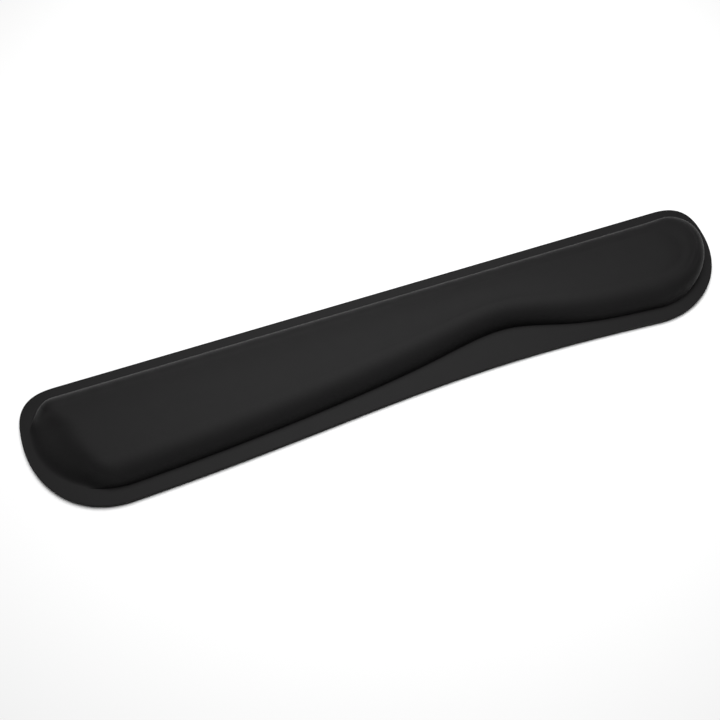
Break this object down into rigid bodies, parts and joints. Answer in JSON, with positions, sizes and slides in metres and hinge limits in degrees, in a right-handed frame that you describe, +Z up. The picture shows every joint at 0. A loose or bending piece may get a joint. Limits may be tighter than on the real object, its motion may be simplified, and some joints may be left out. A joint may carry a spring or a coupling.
{
  "type": "keyboard wrist rest",
  "caption": "Long low keyboard wrist rest: a waisted gel pad under a stretch-knit cover, on a flat non-slip base with a rim all round.",
  "frame": {"origin": "on the desk, under the middle of the base's bounding box", "axes": "+X along the rest to the user's right, +Y towards the keyboard, +Z up"},
  "size_m": [0.4798, 0.0892, 0.02],
  "materials": {
    "knit_fabric": "matte black fine stretch knit with a soft sheen",
    "gel": "clear soft gel, sealed inside",
    "pouch_film": "smooth thin elastomer film, sealed inside",
    "glue": "black hot-melt adhesive, slightly glossy where its edge shows",
    "foam": "fine black closed-cell foam, cut edge",
    "grip_rubber": "matte black foamed natural rubber with a fine non-slip texture"
  },
  "bodies": {
    "root": {"grip_base": "grip_rubber", "base_glue_film": "glue", "foam_bed": "foam", "gel_lower_film": "pouch_film", "gel_core": "gel", "gel_upper_film": "pouch_film", "cover_glue_ring": "glue", "fabric_cover": "knit_fabric"}
  },
  "joints": []
}
